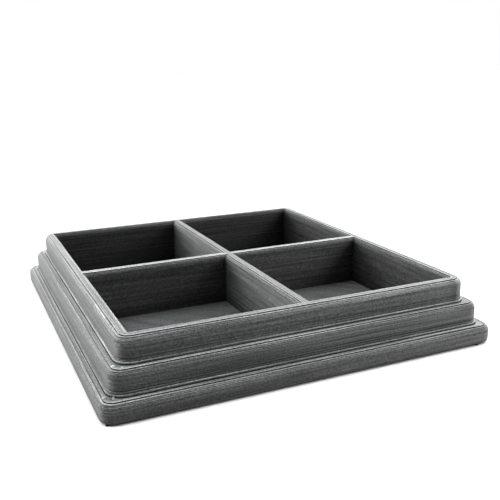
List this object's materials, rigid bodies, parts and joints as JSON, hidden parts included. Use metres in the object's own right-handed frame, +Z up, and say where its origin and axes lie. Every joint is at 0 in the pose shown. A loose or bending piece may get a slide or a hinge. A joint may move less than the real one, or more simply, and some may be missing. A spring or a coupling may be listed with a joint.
{
  "type": "parts sorting tray",
  "caption": "Low stepped tray for small model-making parts, with square compartments, a rounded rim and fine printed layer lines.",
  "frame": {"origin": "bottom centre of the bounding box: the middle of the underside, on the surface that the tray stands on", "axes": "+Z up out of the compartments, +X along the width to the right, +Y along the depth to the back"},
  "size_m": [0.114, 0.124, 0.0186],
  "materials": {
    "printed_plastic": "matte with fine layer lines"
  },
  "bodies": {
    "root": {"base_frame": "printed_plastic", "middle_frame": "printed_plastic", "tray_walls": "printed_plastic", "floor_panel": "printed_plastic", "front_back_divider": "printed_plastic", "left_right_divider": "printed_plastic"}
  },
  "joints": []
}
